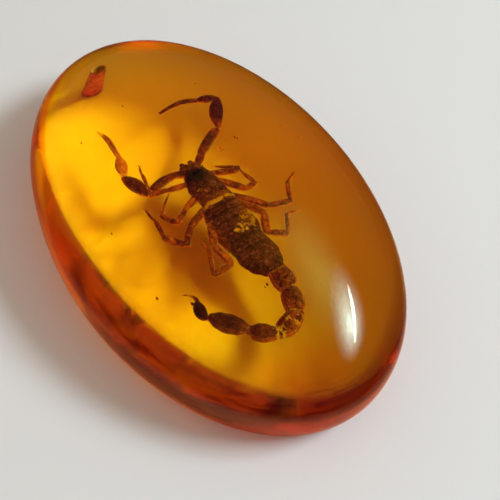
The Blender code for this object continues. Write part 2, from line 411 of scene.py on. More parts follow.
def body_point(distance, across, height=0.0):
    """A point by distance along the body, sideways to its right, and height above the girth."""
    turned = Matrix.Rotation(BODY_TURN, 3, "Z") @ Vector((distance, across, 0.0))
    return BODY_FRONT + turned + UP * (GIRTH_HEIGHT + height)


def body_shares(point):
    """Distance along the body and sideways of a point, the other way round."""
    local = Matrix.Rotation(-BODY_TURN, 3, "Z") @ (point - BODY_FRONT)
    return local.x, local.y


def spot(point, centre, reach):
    """One inside a soft-edged spot on the back, nought outside it."""
    distance, across = body_shares(point)
    ragged = 0.45 * noise.noise(point * 2.4)
    return clamp(1.25 - math.hypot(distance - centre[0], across - centre[1]) / reach + ragged)


def read_off(table, distance):
    """The columns of a table at a distance, read between its rows."""
    for low, high in zip(table, table[1:]):
        if distance <= high[0]:
            break
    share = clamp((distance - low[0]) / (high[0] - low[0]))
    share = share * share * (3 - 2 * share)
    return [a + (b - a) * share for a, b in zip(low[1:], high[1:])]


def loft(bm, stations, sides=16, ridges=0, ridge_height=0.0, belly=1.0):
    """Draws one closed segment out of a ring that is carried from station to station.

    A station is its middle, half width, half height, paleness and direction, or None for the direction
    that its neighbours give. Ridges run along the segment; belly flattens its underside.
    """
    pale = bm.verts.layers.float.get("pale") or bm.verts.layers.float.new("pale")
    ring = bmesh.ops.create_circle(bm, segments=sides, radius=1.0)["verts"]
    for vert in ring:
        angle = math.atan2(vert.co.y, vert.co.x)
        vert.co *= 1 + ridge_height * max(0.0, math.cos(ridges * angle)) ** 4
        if vert.co.y < 0:
            vert.co.y *= belly
    edges = list({edge for vert in ring for edge in vert.link_edges})
    first_edges, before = edges, Matrix.Identity(4)
    middles = [station[0] for station in stations]
    for index, (middle, half_width, half_height, tone, along) in enumerate(stations):
        if along is None:
            along = middles[min(index + 1, len(middles) - 1)] - middles[max(index - 1, 0)]
        along = along.normalized()
        side = UP.cross(along).normalized()
        turn = Matrix((side * half_width, along.cross(side) * half_height, along)).transposed().to_4x4()
        here = Matrix.Translation(middle) @ turn
        if index:
            drawn = bmesh.ops.extrude_edge_only(bm, edges=edges)["geom"]
            ring = [item for item in drawn if isinstance(item, bmesh.types.BMVert)]
            ends = set(ring)
            edges = [item for item in drawn
                     if isinstance(item, bmesh.types.BMEdge) and ends.issuperset(item.verts)]
        bmesh.ops.transform(bm, matrix=here @ before.inverted(), verts=ring)
        before = here
        for vert in ring:
            vert[pale] = tone
    bmesh.ops.edgeloop_fill(bm, edges=first_edges)
    bmesh.ops.edgeloop_fill(bm, edges=edges)


def swelling(share, front, middle, rear, blunt=0.3):
    """Half width along a segment with rounded ends, as a share of its widest."""
    bulge = 2 * middle - (front + rear) / 2
    body = (1 - share) ** 2 * front + 2 * share * (1 - share) * bulge + share ** 2 * rear
    return body * max(math.sin(math.pi * share), 0.02) ** blunt


def body_station(edges, distance, wide, height, tone=0.0):
    """A station across the body, from a table of how far it reaches to each side."""
    left, right = read_off(edges, distance)
    return body_point(distance, (right - left) / 2), (left + right) / 2 * wide, height, tone, FORWARD


def rounded_shares(steps):
    """Shares from 0 to 1 that crowd towards both ends."""
    return [(1 - math.cos(math.pi * step / steps)) / 2 for step in range(steps + 1)]


def grain(bm, size, depth):
    """Raises small rounded grains all over a shell."""
    bm.normal_update()
    for vert in bm.verts:
        nearest = noise.voronoi(vert.co / size)[0][0]
        vert.co += vert.normal * depth * (max(0.0, 0.55 - nearest) + 0.4 * noise.noise(vert.co / size / 2.7))


def finish_shell(bm):
    bmesh.ops.remove_doubles(bm, verts=bm.verts, dist=1e-4)
    bmesh.ops.recalc_face_normals(bm, faces=bm.faces)


def add_shell(name, bm, material):
    """One piece of the dried animal, drawn in place of its plain solid."""
    finish_shell(bm)
    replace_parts(add_piece(name, bm, material), "scorpion")


# A shared look: clouds, small flecks, dark cracks, a pitted height, how far the side is turned outwards,
# which carries painted light at the sides, and a ragged noise that breaks up the rims of pale patches
shell_grain = bpy.data.node_groups.new("shell_grain", "ShaderNodeTree")
tree = shell_grain
tree.interface.new_socket("Grains per metre", in_out="INPUT", socket_type="NodeSocketFloat")
grains = tree.nodes.new("NodeGroupInput").outputs["Grains per metre"]
coordinates = add_node(tree, "TexCoord").outputs
spot_at = coordinates["Object"]
upright = add_node(tree, "SeparateXYZ", {0: coordinates["Normal"]}).outputs["Z"]
pits = add_node(tree, "TexVoronoi", {"Vector": spot_at, "Scale": grains}).outputs["Distance"]
mosaic = add_node(tree, "TexVoronoi", {"Vector": spot_at, "Scale": 1300.0}, feature="DISTANCE_TO_EDGE")
mottle = ramp(clouds(spot_at, 800.0, 6.0, 0.75, 1.4), 0.4, 0.6)
looks = {
    "Mottle": mottle,
    "Flecks": ramp(clouds(spot_at, 3600.0, 4.0, 0.7, 1.0), 0.58, 0.68),
    "Cracks": ramp(mosaic.outputs["Distance"], 0.14, 0.02),
    "Height": calculate("MULTIPLY_ADD", mottle, 0.6, pits),
    "Side": ramp(calculate("ABSOLUTE", upright), 0.6, 0.2),
    "Ragged": clouds(spot_at, 1500.0, 4.0, 0.7)}
for name in looks:
    tree.interface.new_socket(name, in_out="OUTPUT", socket_type="NodeSocketFloat")
group_out = tree.nodes.new("NodeGroupOutput")
for name, source in looks.items():
    tree.links.new(source, group_out.inputs[name])


def shell_material(name, deep, mid, fleck, edge, pale, roughness, grains, cracks=0.5, bump=1.0):
    """Dried shell: deep and mid brown in clouds, with flecks and cracks, and painted light at its sides.

    The piece's own "pale" attribute opens ragged pale patches, or deepens a core where it is below nought,
    and its "dark" attribute blackens it.
    """
    material, tree, shader = new_material(name, mid, roughness, IOR=1.15)
    looks = tree.nodes.new("ShaderNodeGroup")
    looks.node_tree = shell_grain
    looks.inputs["Grains per metre"].default_value = grains
    look = looks.outputs
    tone = attribute(tree, "pale")
    color = mix_colors(look["Mottle"], deep, mid)
    # Painted light at the sides: the edge colour stands for glints and light shining through the thin shell
    color = mix_colors(look["Side"], color, edge)
    color = mix_colors(look["Flecks"], color, fleck)
    color = mix_colors(ramp(tone, 0.0, -1.0), color, [channel * 0.4 for channel in deep])
    color = mix_colors(overlap(look["Cracks"], cracks), color, deep)
    color = mix_colors(attribute(tree, "dark"), color, (0.012, 0.012, 0.008))
    torn = calculate("MULTIPLY_ADD", look["Ragged"], 1.6, tone)
    color = mix_colors(ramp(torn, 1.22, 1.42), color, pale)
    feed(shader, "Base Color", color)
    raise_surface(shader, look["Height"], bump, 0.0001)
    return material


SKIN = shell_material("dried_skin", deep=(0.07, 0.02, 0.03), mid=(0.24, 0.07, 0.06), fleck=(0.7, 0.3, 0.06),
                      edge=(0.4, 0.12, 0.05), pale=(0.54, 0.31, 0.03), roughness=0.5, grains=4000.0,
                      bump=0.6)
bm = bmesh.new()
stations = []
for share in rounded_shares(44):
    distance = BODY_START + share * BODY_LENGTH
    # Painted light: the skin is painted gold at the neck, for lit resin seen through the gap
    gold = 0.62 * math.exp(-((distance - NECK) / NECK_REACH) ** 4)
    squeeze = swelling(share, 1.0, 1.0, 1.0, 0.35)
    stations.append(body_station(BODY_EDGES, distance, 1.01 * squeeze, BODY_HEIGHT * squeeze, gold))
loft(bm, stations, sides=72)
grain(bm, 0.4, 0.14)
pale = bm.verts.layers.float["pale"]
# Painted light: the skin is painted gold at the broken place too
for vert in bm.verts:
    vert[pale] = max(vert[pale], 0.64 * spot(vert.co, BROKEN_PATCH, BROKEN_REACH))
add_shell("soft_body", bm, SKIN)

# === Scorpion: head shield and eyes ===
# One hard plate covers the head. It is rough with small grains, darkest round the two middle eyes, and
# bruised paler on its left where the resin has lifted its surface.
SHIELD_FRONT = 0.75
SHIELD_REAR = 6.1
SHIELD_HEIGHT = 1.05
EYE_SPOT = (2.4, -0.2)
EYE_SPOT_REACH = 1.5
BRUISE = (4.3, -1.05)
BRUISE_REACH = 1.1
# Distance, sideways, height and radius of each eye: two in the middle and three on each side
EYES = ((2.15, -0.22, 0.97, 0.2), (2.2, 0.16, 0.97, 0.2), (0.95, -0.72, 0.5, 0.1), (1.2, -0.86, 0.5, 0.1),
        (1.45, -0.96, 0.5, 0.09), (1.0, 0.78, 0.5, 0.1), (1.25, 0.95, 0.5, 0.1), (1.5, 1.07, 0.5, 0.09))

BACK = shell_material("back_shell", deep=(0.038, 0.012, 0.06), mid=(0.29, 0.088, 0.3),
                      fleck=(0.65, 0.25, 0.32), edge=(0.3, 0.08, 0.14), pale=(0.85, 0.52, 0.05),
                      roughness=0.42, grains=7000.0, cracks=0.7)
bm = bmesh.new()
stations = []
for share in rounded_shares(56):
    distance = SHIELD_FRONT + share * (SHIELD_REAR - SHIELD_FRONT)
    wide = swelling(share, 1, 1, 1, 0.18)
    rise = SHIELD_HEIGHT * swelling(share, 0.85, 1.05, 0.98, 0.28)
    stations.append(body_station(BODY_EDGES, distance, wide, rise))
loft(bm, stations, sides=110, belly=0.35)
grain(bm, 0.23, 0.11)
pale = bm.verts.layers.float["pale"]
dark = bm.verts.layers.float.new("dark")
for vert in bm.verts:
    vert[dark] = spot(vert.co, EYE_SPOT, EYE_SPOT_REACH)
    speckle = 0.6 + 0.8 * noise.noise(vert.co * 3.1)
    vert[pale] = 0.42 * spot(vert.co, BRUISE, BRUISE_REACH) * max(speckle, 0.0)
add_shell("head_shield", bm, BACK)

EYE_DARK, tree, shader = new_material("eye_lens", (0.008, 0.005, 0.006), 0.12, IOR=1.15)
film = clouds(object_place(tree), 4000.0, 2.0)
feed(shader, "Roughness", ramp(film, 0.0, 1.0, 0.08, 0.3))
bm = bmesh.new()
for distance, across, height, size in EYES:
    bead = bmesh.ops.create_uvsphere(bm, u_segments=24, v_segments=16, radius=size)["verts"]
    bmesh.ops.transform(bm, matrix=Matrix.Translation(body_point(distance, across, height)), verts=bead)
add_shell("eyes", bm, EYE_DARK)

# === Scorpion: back plates ===
# Seven hard plates cover the back and overlap to the rear like roof tiles. Each has a raised rear lip,
# and the last four are darker, with wrinkles along them.
PLATE_STARTS = (6.68, 7.15, 8.1, 9.2, 10.45, 11.75, 13.1, 16.35)
PLATE_OVERLAP = 0.35
PLATE_HEIGHT = 1.12
DARK_FROM = 10.6
WRINKLE_SPACING = 0.62
WRINKLE_WIDTH = 0.16
SEAM_WIDTH = 0.15
# How far the plates reach to the left and right at distances along the body
PLATE_EDGES = ((6.0, 1.65, 1.6), (7.1, 2.05, 1.65), (8.2, 2.3, 1.6), (9.5, 2.35, 1.4), (10.7, 2.35, 1.45),
               (12.0, 2.4, 1.35), (13.2, 2.4, 1.55), (14.0, 2.45, 1.6), (15.2, 2.1, 1.3), (16.2, 1.4, 0.9))
# Distance, sideways and reach of each gold fleck where a plate has flaked, painted light for lit resin there
GOLD_FLECKS = ((10.6, -0.75, 0.62), (10.45, -0.2, 0.62), (10.3, 0.3, 0.5), (11.15, -0.4, 0.45),
               (11.05, 0.1, 0.4), (9.3, 1.2, 0.75), (10.2, 1.15, 0.7), (9.8, 0.85, 0.5))
bm = bmesh.new()
for number, (start, end) in enumerate(zip(PLATE_STARTS, PLATE_STARTS[1:])):
    stations = []
    front = start - (PLATE_OVERLAP if number else 0.0)
    for share in rounded_shares(20):
        distance = front + share * (end - front)
        lip = 0.88 + 0.17 * share ** 2
        rounding = swelling(share, 1, 1, 1, 0.022)
        stations.append(body_station(PLATE_EDGES, distance, rounding, PLATE_HEIGHT * lip * rounding))
    loft(bm, stations, sides=110, belly=0.25)
grain(bm, 0.2, 0.1)
pale = bm.verts.layers.float["pale"]
dark = bm.verts.layers.float.new("dark")
for vert in bm.verts:
    distance, across = body_shares(vert.co)
    broken = spot(vert.co, BROKEN_PATCH, BROKEN_REACH)
    flecks = max(spot(vert.co, (s, t), reach) for s, t, reach in GOLD_FLECKS)
    rear = clamp((distance - DARK_FROM) / 0.8 + noise.noise(vert.co * 1.3))
    seam = min(abs(distance + 0.12 * noise.noise(vert.co * 2.0) - start) for start in PLATE_STARTS[1:-1])
    wrinkle = abs(((across + 0.15 * noise.noise(vert.co * 1.5)) / WRINKLE_SPACING) % 1.0 - 0.5)
    wrinkled = rear * max(1 - wrinkle / WRINKLE_WIDTH, 0.0)
    vert[dark] = max(0.2 * rear * (1 - broken), 0.85 * max(1 - seam / SEAM_WIDTH, 0.0), 0.65 * wrinkled)
    # Painted light: the broken place and the flecks are painted gold, for lit resin seen through them
    vert[pale] = max(0.7 * broken, 0.57 * flecks)
    if broken > 0.6:
        vert.co.z -= 0.2 * (1 + noise.noise(vert.co * 3.0))
add_shell("back_plates", bm, BACK)

# === Scorpion: mouth claws ===
# Two short stout claws of the same hard shell as the back stand in front of the mouth. Each has a fixed
# and a moving finger.
MOUTH_CLAW_SIZE = (0.64, 0.58)
MOUTH_FINGER_SIZE = (0.17, 0.14)
MOUTH_FINGER_SPREAD = 0.12
# Distance and sideways of each claw's root and of its tip
MOUTH_CLAWS = ((1.2, -0.36, 0.2, -0.4), (1.3, 0.42, 0.3, 0.46))


def segment(bm, start, end, half_width, half_height, front=0.8, rear=0.8, tones=(0.4, 0.0, 0.4), bow=0.0,
            sides=16, steps=12, ridges=0, ridge_height=0.0, blunt=0.3):
    """One limb segment between two joints, paler at its ends and bowed sideways if it is curved."""
    run = end - start
    sideways = UP.cross(run).normalized() * bow
    stations = []
    for share in rounded_shares(steps):
        middle = start + run * share + sideways * math.sin(math.pi * share)
        width = swelling(share, front, 1.0, rear, blunt)
        near_end = abs(2 * share - 1) ** 2.5
        tone = tones[1] + (tones[0 if share < 0.5 else 2] - tones[1]) * near_end
        stations.append((middle, half_width * width, half_height * width, tone, None))
    loft(bm, stations, sides=sides, ridges=ridges, ridge_height=ridge_height)


bm = bmesh.new()
for root_distance, root_across, tip_distance, tip_across in MOUTH_CLAWS:
    root = body_point(root_distance + 0.5, root_across, 0.25)
    tip = body_point(tip_distance, tip_across, 0.2)
    segment(bm, root, tip, *MOUTH_CLAW_SIZE, 0.95, 0.95, (0.0, 0.0, 0.1), sides=28, steps=18, blunt=0.45)
    forward = (tip - root).normalized()
    sideways = UP.cross(tip - root).normalized()
    for spread in (-MOUTH_FINGER_SPREAD, MOUTH_FINGER_SPREAD):
        segment(bm, tip + sideways * spread * 0.8, tip + forward * 0.3 + sideways * spread * 0.5,
                *MOUTH_FINGER_SIZE, 1.0, 0.6, (0.0, 0.1, 0.3), sides=14)
grain(bm, 0.16, 0.03)
add_shell("mouth_claws", bm, BACK)

# === Scorpion: tail and sting ===
# Five ringed segments with keels along them curl forward round the left side. The last ends in the venom
# bulb, which has a small tooth under the curved sting. Pale skin shows at every joint.
TAIL_HEIGHT = 0.15
TAIL_JOINTS = ((13.0, 1.08), (15.72, 1.15), (18.4, 0.52), (19.8, -1.75), (18.15, -4.0), (15.1, -6.6))
# Half widths of each segment, evenly spaced from its front to its rear
TAIL_WIDTHS = ((0.86, 0.98, 1.06, 1.08, 0.96), (0.82, 0.96, 1.0, 0.94, 0.86), (0.84, 0.92, 0.98, 0.94, 0.62),
               (0.52, 0.72, 0.84, 0.8, 0.46), (0.46, 0.76, 0.86, 0.74, 0.36))
TAIL_CORES = (-0.15, -0.1, 0.0, -0.25, -0.5)     # how much deeper each segment is at its middle
TAIL_BOWS = (0.05, 0.1, 0.14, 0.12, 0.06)        # how far each is bowed sideways
JOINT_GAP = 0.06
# Ragged pale streaks where the shell has split, as segment and share along it
TAIL_SPLITS = ((0, 0.24), (2, 0.85), (3, 0.08), (2, 0.45))
# Points along the sting, each with its half width
STING_ROUTE = ((13.35, -6.76, 0.2), (12.95, -6.74, 0.17), (12.55, -6.88, 0.13), (12.25, -7.12, 0.095),
               (12.05, -7.42, 0.06), (11.9, -7.8, 0.02))
VENOM_BULB = ((15.4, -6.84), (13.15, -6.86))
BULB_SIZE = 0.55
STING_TOOTH = ((13.4, -7.08, 0.0), (12.86, -7.28, -0.05))
TOOTH_SIZE = 0.13
TAIL = shell_material("tail_shell", deep=(0.04, 0.009, 0.01), mid=(0.34, 0.075, 0.04),
                      fleck=(0.7, 0.24, 0.08), edge=(0.7, 0.2, 0.06), pale=(0.85, 0.56, 0.05),
                      roughness=0.3, grains=6000.0, bump=0.7)


def girth_point(x, y, height=0.0):
    """A point by x and y, and height above the girth."""
    return Vector((x, y, GIRTH_HEIGHT + height))


def level_points(places, height):
    """Points at one height above the girth."""
    return [girth_point(x, y, height) for x, y in places]


bm = bmesh.new()
joints = level_points(TAIL_JOINTS, TAIL_HEIGHT)
for number, (start, end) in enumerate(zip(joints, joints[1:])):
    run = end - start
    gap = run.normalized() * JOINT_GAP
    sideways = UP.cross(run).normalized() * TAIL_BOWS[number]
    widths = TAIL_WIDTHS[number]
    rows = [(share / 4, width) for share, width in enumerate(widths)]
    stations = []
    for share in rounded_shares(34):
        width = read_off(rows, share)[0] * max(math.sin(math.pi * share), 0.02) ** 0.06
        split = max([1 - abs(share - at) / 0.3 for piece, at in TAIL_SPLITS if piece == number] + [0.0])
        tone = 0.5 * abs(2 * share - 1) ** 6 + TAIL_CORES[number] * (1 - split) + 0.42 * split
        middle = start + gap + (run - gap * 2) * share + sideways * math.sin(math.pi * share)
        stations.append((middle, width, width * 0.84, tone, None))
    loft(bm, stations, sides=64, ridges=10, ridge_height=0.08)
segment(bm, *level_points(VENOM_BULB, TAIL_HEIGHT), BULB_SIZE, BULB_SIZE, 0.75, 0.72,
        (-0.4, -0.9, -0.6), bow=0.12, sides=40, steps=24, blunt=0.4)
segment(bm, *[girth_point(*place) for place in STING_TOOTH], TOOTH_SIZE, TOOTH_SIZE, 1.0, 0.25,
        (0.0, 0.0, 0.1), sides=14)
loft(bm, [(girth_point(x, y, 0.12), width, width, 0.1 + 0.5 * number / len(STING_ROUTE), None)
          for number, (x, y, width) in enumerate(STING_ROUTE)], sides=18)
grain(bm, 0.17, 0.04)
add_shell("tail", bm, TAIL)

bm = bmesh.new()
for number, joint in enumerate(joints[:5]):
    before = joints[max(number - 1, 0)]
    after = joints[number + 1]
    run = (after - before).normalized()
    reach = 0.36 if number == 0 else 0.22
    size = TAIL_WIDTHS[number][0] * 0.96
    segment(bm, joint - run * reach, joint + run * reach, size, size * 0.85, 0.95, 0.95, (0.7, 0.5, 0.7),
            sides=40, steps=14, blunt=0.2)
grain(bm, 0.3, 0.04)
add_shell("tail_joints", bm, SKIN)

# === Scorpion: claw arms ===
# Each of the two arms has a short first joint, an arm with saw-like rows of grains along its edges, a
# swollen forearm, and a hand with one fixed and one moving finger. The left hand is painted bright orange,
# and the fingers paler towards their tips: painted light shining through the thin shell.
LIMB = shell_material("limb_shell", deep=(0.06, 0.012, 0.01), mid=(0.4, 0.08, 0.03),
                      fleck=(0.85, 0.3, 0.12), edge=(1.0, 0.38, 0.14), pale=(1.0, 0.5, 0.1),
                      roughness=0.34, grains=6000.0)
# Painted light: the left hand's bright orange stands for light shining through its thin shell
HAND = shell_material("hand_shell", deep=(0.72, 0.2, 0.02), mid=(1.0, 0.52, 0.03), fleck=(1.0, 0.66, 0.08),
                      edge=(0.26, 0.04, 0.01), pale=(1.0, 0.66, 0.08), roughness=0.3, grains=4000.0,
                      cracks=0.6, bump=0.7)
LEFT_ARM = dict(
    shoulder=((-1.2, -1.2), (-1.8, -2.35)), arm=((-1.8, -2.2), (-0.95, -5.15)), arm_bow=-0.22,
    forearm=((-0.45, -5.72), (-4.15, -6.95)), forearm_bow=-0.12, forearm_width=0.64,
    wrist=((-3.95, -6.86), (-4.4, -6.66)), hand=((-4.05, -6.68), (-7.3, -6.18)), hand_width=0.58,
    finger=((-7.0, -6.17), (-8.3, -6.19), (-9.7, -6.2), (-10.8, -6.36), (-11.75, -6.7)),
    finger_widths=(0.25, 0.26, 0.27, 0.2, 0.06), tip_glow=0.6)
RIGHT_ARM = dict(
    shoulder=((-2.1, 0.15), (-3.35, 1.05)), arm=((-3.25, 0.95), (-6.05, 3.8)), arm_bow=0.08,
    forearm=((-6.0, 4.0), (-10.75, 5.85)), forearm_bow=0.14, forearm_width=0.68,
    wrist=((-10.5, 5.85), (-10.9, 5.6)), hand=((-10.75, 5.95), (-11.15, 3.5)), hand_width=0.6,
    finger=((-11.1, 3.8), (-11.45, 2.75), (-11.5, 2.0), (-11.3, 1.0), (-10.9, -0.3)),
    finger_widths=(0.33, 0.34, 0.33, 0.27, 0.17), tip_glow=0.25)


def add_saw_rows(bm, start, end, half_width, bow, count):
    """Two rows of small pointed grains along an arm's edges."""
    run = end - start
    across = UP.cross(run).normalized()
    for number in range(count):
        share = (number + 0.7) / (count + 0.4)
        for side in (-1, 1):
            reach = half_width * swelling(share, 0.9, 1.0, 0.95, 0.1) * 0.96
            root = start + run * share + across * (side * reach + bow * math.sin(math.pi * share))
            tip = root + (across * side + run.normalized() * 0.3) * 0.13
            segment(bm, root - across * side * 0.08, tip, 0.075, 0.075, 1.0, 0.3, (0.0, 0.0, 0.3), sides=8,
                    steps=5)


def between(stations, position):
    """A station read off a smooth curve through the given ones."""
    index = min(int(position), len(stations) - 2)
    t = position - index
    rows = [stations[min(max(index + step, 0), len(stations) - 1)] for step in (-1, 0, 1, 2)]
    weights = (-t / 2 + t * t - t ** 3 / 2, 1 - 2.5 * t * t + 1.5 * t ** 3, t / 2 + 2 * t * t - 1.5 * t ** 3,
               -t * t / 2 + t ** 3 / 2)
    middle = sum((row[0] * weight for row, weight in zip(rows, weights)), Vector())
    numbers = [sum(row[column] * weight for row, weight in zip(rows, weights)) for column in (1, 2, 3)]
    return (middle, *[max(number, 0.012) for number in numbers], None)


def make_claw(name, arm, hand_material):
    """An arm with its saw rows, then its hand with two fingers side by side."""
    bm = bmesh.new()
    start, end = level_points(arm["shoulder"], 0.1)
    segment(bm, start, end, 0.44, 0.42, 0.9, 1.0, (0.1, 0.0, 0.1), sides=28, steps=14, blunt=0.1)
    start, end = level_points(arm["arm"], 0.1)
    segment(bm, start, end, 0.5, 0.42, 0.9, 0.95, (0.2, -0.3, 0.2), bow=arm["arm_bow"], sides=32, steps=22,
            ridges=6, ridge_height=0.12, blunt=0.1)
    add_saw_rows(bm, start, end, 0.5, arm["arm_bow"], 13)
    start, end = level_points(arm["forearm"], 0.15)
    width = arm["forearm_width"]
    segment(bm, start, end, width, width * 0.85, 0.5, 0.72, (0.45, -0.55, 0.15), bow=arm["forearm_bow"],
            sides=44, steps=30, ridges=7, ridge_height=0.07)
    grain(bm, 0.15, 0.05)
    add_shell(name + "_arm", bm, LIMB)

    bm = bmesh.new()
    start, end = level_points(arm["wrist"], 0.1)
    segment(bm, start, end, 0.3, 0.3, 0.8, 0.8, (0.5, 0.5, 0.5), sides=20)
    start, end = level_points(arm["hand"], 0.15)
    width = arm["hand_width"]
    segment(bm, start, end, width, width * 0.9, 0.55, 0.5, (0.7, 0.35, 0.5), sides=40, steps=28, ridges=5,
            ridge_height=0.05, blunt=0.4)
    points = level_points(arm["finger"], 0.12)
    for side in (-1, 1):
        stations = []
        for number, (point, width) in enumerate(zip(points, arm["finger_widths"])):
            run = points[min(number + 1, 4)] - points[max(number - 1, 0)]
            shift = UP.cross(run).normalized() * side * width * 0.5
            # Painted light: the fingers grow paler towards their tips, where light shines through
            tone = 0.1 + arm["tip_glow"] * (number / 4) ** 2
            stations.append((point + shift, width * 0.5, width * 0.62, tone, None))
        loft(bm, [between(stations, number / 24 * 4) for number in range(25)], sides=16)
    dark = bm.verts.layers.float.new("dark")
    middle = [(points[1] + points[2]) / 2, (points[2] + points[3]) / 2]
    for vert in bm.verts:
        near = min((vert.co - point).length for point in middle)
        vert[dark] = 0.62 * max(1 - near / 1.3, 0.0) * (0.7 + noise.noise(vert.co * 2.5))
    grain(bm, 0.2, 0.03)
    add_shell(name + "_hand", bm, hand_material)


make_claw("left_claw", LEFT_ARM, HAND)
make_claw("right_claw", RIGHT_ARM, LIMB)

# === Scorpion: legs ===
# Eight walking legs lie folded flat, four to a side. Their segments are thin-walled tubes, pale at each
# joint, and every foot ends in a pair of fine claws.
LEG = shell_material("leg_shell", deep=(0.09, 0.018, 0.01), mid=(0.55, 0.13, 0.04), fleck=(0.95, 0.38, 0.14),
                     edge=(1.0, 0.44, 0.18), pale=(1.0, 0.5, 0.1), roughness=0.34, grains=6000.0)
KNEE_RISE = 0.25            # how far every other joint stands up
SEGMENT_LAP = 0.06
TOE_SIZE = 0.04
# The joints of each leg from its root to its foot, then the half width of each segment between them
LEGS = (
    (((-0.1, -1.5), (-0.2, -3.8), (-0.6, -5.5), (-1.7, -5.4), (-3.5, -5.1), (-4.55, -4.98)),
     (0.28, 0.25, 0.21, 0.13, 0.08)),
    (((1.5, -1.5), (2.7, -3.1), (4.0, -4.6), (2.4, -5.6), (1.8, -5.1), (0.35, -3.95)),
     (0.3, 0.27, 0.24, 0.15, 0.09)),
    (((3.5, -1.7), (5.1, -3.8), (6.9, -4.9), (5.0, -6.5), (2.8, -6.3), (0.95, -6.7)),
     (0.33, 0.28, 0.27, 0.17, 0.09)),
    (((4.4, -1.5), (8.2, -2.9), (10.8, -2.2), (11.3, -4.3), (8.4, -3.4), (7.1, -3.7)),
     (0.34, 0.3, 0.28, 0.16, 0.09)),
    (((-0.5, 0.3), (0.5, 3.0), (-0.15, 3.4), (-1.05, 1.3)),
     (0.3, 0.24, 0.15)),
    (((0.3, 0.5), (3.1, 2.8), (2.6, 4.1), (0.5, 3.4)),
     (0.32, 0.27, 0.17)),
    (((3.0, 1.1), (6.0, 3.8), (6.2, 6.1), (3.8, 6.9), (2.65, 8.15)),
     (0.34, 0.28, 0.18, 0.1)),
    (((3.9, 1.4), (6.7, 3.0), (8.9, 2.3), (10.0, 3.9), (7.5, 5.0), (7.75, 6.15)),
     (0.34, 0.3, 0.27, 0.16, 0.09)),
)
bm = bmesh.new()
for route, widths in LEGS:
    knees = [girth_point(x, y, number % 2 * KNEE_RISE) for number, (x, y) in enumerate(route)]
    for number, (start, end) in enumerate(zip(knees, knees[1:])):
        run = (end - start).normalized() * SEGMENT_LAP
        last = number == len(widths) - 1
        segment(bm, start - run, end + run, widths[number] * 1.25, widths[number] * 0.9, 0.85,
                0.4 if last else 1.0, (0.3, -0.05, 0.6 if last else 0.3), bow=0.05 * (-1) ** number,
                sides=18, steps=14, ridges=3, ridge_height=0.28, blunt=0.12)
    foot = knees[-1]
    toe = (knees[-1] - knees[-2]).normalized()
    for side in (-1, 1):
        tip = foot + toe * 0.3 + UP.cross(toe) * side * 0.12
        segment(bm, foot - toe * 0.05, tip, TOE_SIZE, TOE_SIZE, 1.0, 0.3, (0.3, 0.5, 0.8),
                bow=side * 0.05, sides=8, steps=6)
grain(bm, 0.15, 0.03)
add_shell("legs", bm, LEG)

# === Specks ===
# Grains of dust and bits of plant that were cast in with the scorpion. They float a little above its
# middle. Each is given by x, y and radius.
SPECK_HEIGHT = 0.6
DARK_SPECKS = ((11.3, -10.0, 0.13), (14.68, -0.56, 0.14), (14.9, -0.86, 0.07), (2.1, -10.7, 0.1),
               (-11.0, -8.8, 0.09), (-3.9, 4.8, 0.1), (-3.6, 4.95, 0.08), (-13.8, -3.2, 0.08))
PALE_SPECKS = ((-3.0, 2.9, 0.13), (-2.75, 3.1, 0.1), (-2.6, 2.8, 0.08), (-13.8, 4.7, 0.1),
               (-4.0, 10.0, 0.08), (-1.7, 10.8, 0.1), (-13.6, 4.9, 0.06))


def scatter_specks(name, specks, material):
    bm = bmesh.new()
    for number, (x, y, size) in enumerate(specks):
        bead = bmesh.ops.create_icosphere(bm, subdivisions=2, radius=size)["verts"]
        stretch = Matrix.Diagonal((1.6, 0.8, 0.8, 1.0)) @ Matrix.Rotation(number * 1.3, 4, "Z")
        sits_at = Matrix.Translation(girth_point(x, y, SPECK_HEIGHT))
        bmesh.ops.transform(bm, matrix=sits_at @ stretch, verts=bead)
    grain(bm, 0.07, 0.06)
    finish_shell(bm)
    add_piece(name, bm, material)


scatter_specks("dark_specks", DARK_SPECKS, TAIL)
scatter_specks("pale_specks", PALE_SPECKS, HAND)

# === Table ===
# A plain off-white painted board. It stays a hair below the block's back, as paper fibres hold it off.
# What the polished dome mirrors of it is a painted reflection, warm beside the block and dark further off.
TABLE_REACH = 700.0
AIR_GAP = 0.08
BOARD_WHITE = (0.8, 0.785, 0.765)
MIRRORED_NEAR = (0.8, 0.42, 0.25)
MIRRORED_FAR = (0.08, 0.03, 0.01)


def mirror_rays(tree):
    """One for the rays that a surface mirrors, nought for those that come through the resin."""
    rays = add_node(tree, "LightPath").outputs
    return calculate("SUBTRACT", rays["Is Glossy Ray"], rays["Is Transmission Ray"])


board, tree, shader = new_material("white_board", BOARD_WHITE, 0.75, Specular_IOR_Level=0.2)
reach = measure("LENGTH", oval_shares(object_place(tree)))
# Painted reflection: warm for the block's shadow and glow beside it, dark further off
mirrored = mix_colors(ramp(reach, 1.15, 1.6), MIRRORED_NEAR, MIRRORED_FAR)
feed(shader, "Base Color", mix_colors(mirror_rays(tree), BOARD_WHITE, mirrored))
bm = bmesh.new()
bmesh.ops.create_grid(bm, x_segments=2, y_segments=2, size=TABLE_REACH)
bmesh.ops.translate(bm, vec=(0, 0, -AIR_GAP), verts=bm.verts)
table = add_mesh("table", bm, board)

